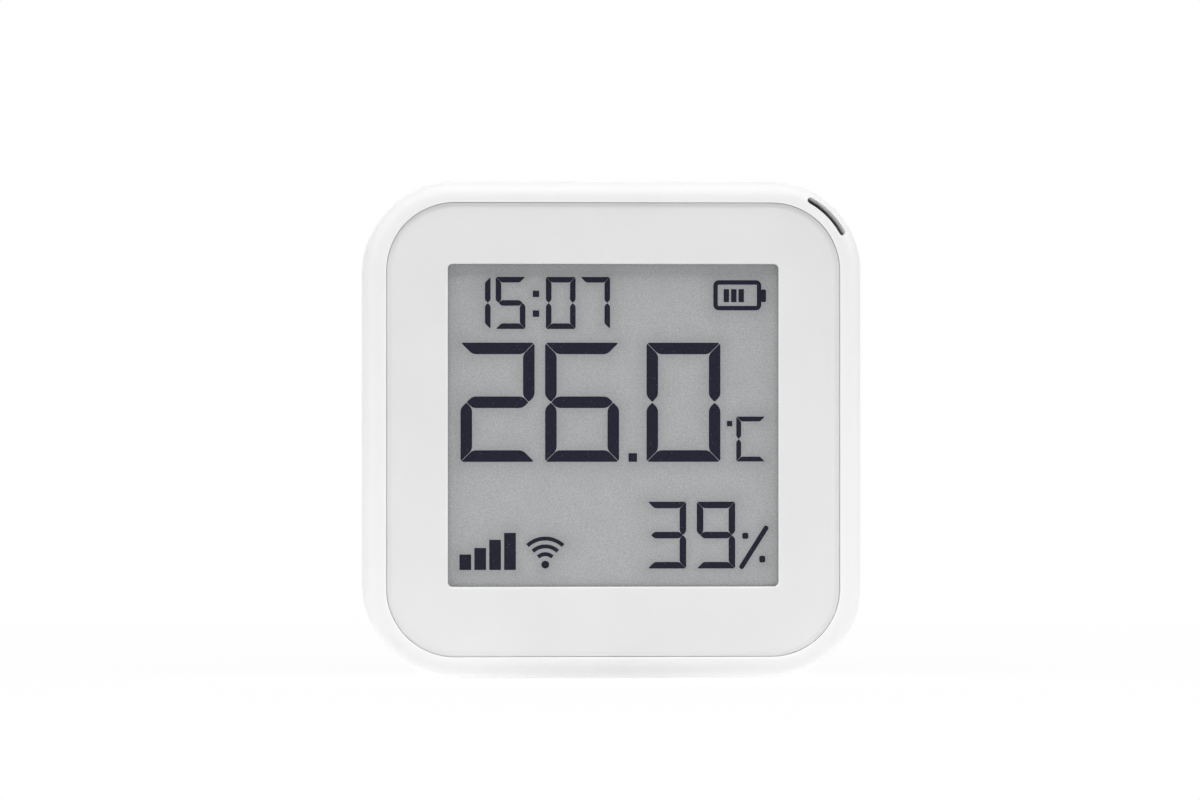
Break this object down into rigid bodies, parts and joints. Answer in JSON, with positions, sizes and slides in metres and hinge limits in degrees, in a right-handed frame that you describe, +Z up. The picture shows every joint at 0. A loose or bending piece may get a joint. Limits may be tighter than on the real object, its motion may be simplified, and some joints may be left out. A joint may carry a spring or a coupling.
{
  "type": "temperature humidity sensor",
  "caption": "Square white room sensor with an e-paper display behind a window, a corner vent slot, a battery bay and a back cover with a keyhole.",
  "frame": {"origin": "on the bottom face, under the middle of the body", "axes": "+Z up, the display faces -Y, the back cover faces +Y, +X to the right as seen from the front"},
  "size_m": [0.07, 0.026, 0.07],
  "materials": {
    "case_plastic": "fine satin texture",
    "panel_plastic": "fine satin texture",
    "tape_foam": "foam",
    "paper_film": "matte",
    "display_glass": "ground back",
    "flex_film": "gloss",
    "socket_plastic": "moulded",
    "circuit_board": "solder mask",
    "tinned_steel": "tinned",
    "chip_plastic": "moulded",
    "capacitor_plastic": "moulded",
    "button_plastic": "satin",
    "contact_steel": "nickel plated",
    "spring_steel": "nickel plated",
    "cell_can": "plain printed sleeve"
  },
  "bodies": {
    "case": {"housing": "case_plastic", "front_panel": "panel_plastic", "display_tape": "tape_foam", "display_film": "paper_film", "display_glass": "display_glass", "display_flex": "flex_film", "flex_socket": "socket_plastic", "main_board": "circuit_board", "radio_board": "circuit_board", "radio_shield": "tinned_steel", "humidity_sensor": "chip_plastic", "board_chips": "chip_plastic", "board_capacitors": "capacitor_plastic", "board_screws": "tinned_steel", "usb_shell": "tinned_steel", "usb_core": "chip_plastic", "reset_switch": "chip_plastic", "contact_plus": "contact_steel", "contact_minus": "contact_steel", "battery_link_1": "contact_steel", "battery_link_2": "contact_steel", "battery_link_3": "contact_steel", "contact_spring_1": "spring_steel", "contact_spring_2": "spring_steel", "contact_spring_3": "spring_steel", "contact_spring_4": "spring_steel", "cell_1": "cell_can", "cell_2": "cell_can", "cell_3": "cell_can", "cell_4": "cell_can"},
    "cover": {"back_cover": "case_plastic"},
    "button": {"reset_button": "button_plastic", "switch_plunger": "socket_plastic"}
  },
  "joints": [
    {"name": "cover_off", "type": "slide", "parent": "case", "child": "cover", "axis": [0, 1, 0], "range_m": [0, 0.03]},
    {"name": "reset_press", "type": "slide", "parent": "case", "child": "button", "axis": [0, -1, 0], "range_m": [0, 0.0003], "stiffness_N_per_m": 800, "springref_m": -0.0005}
  ]
}
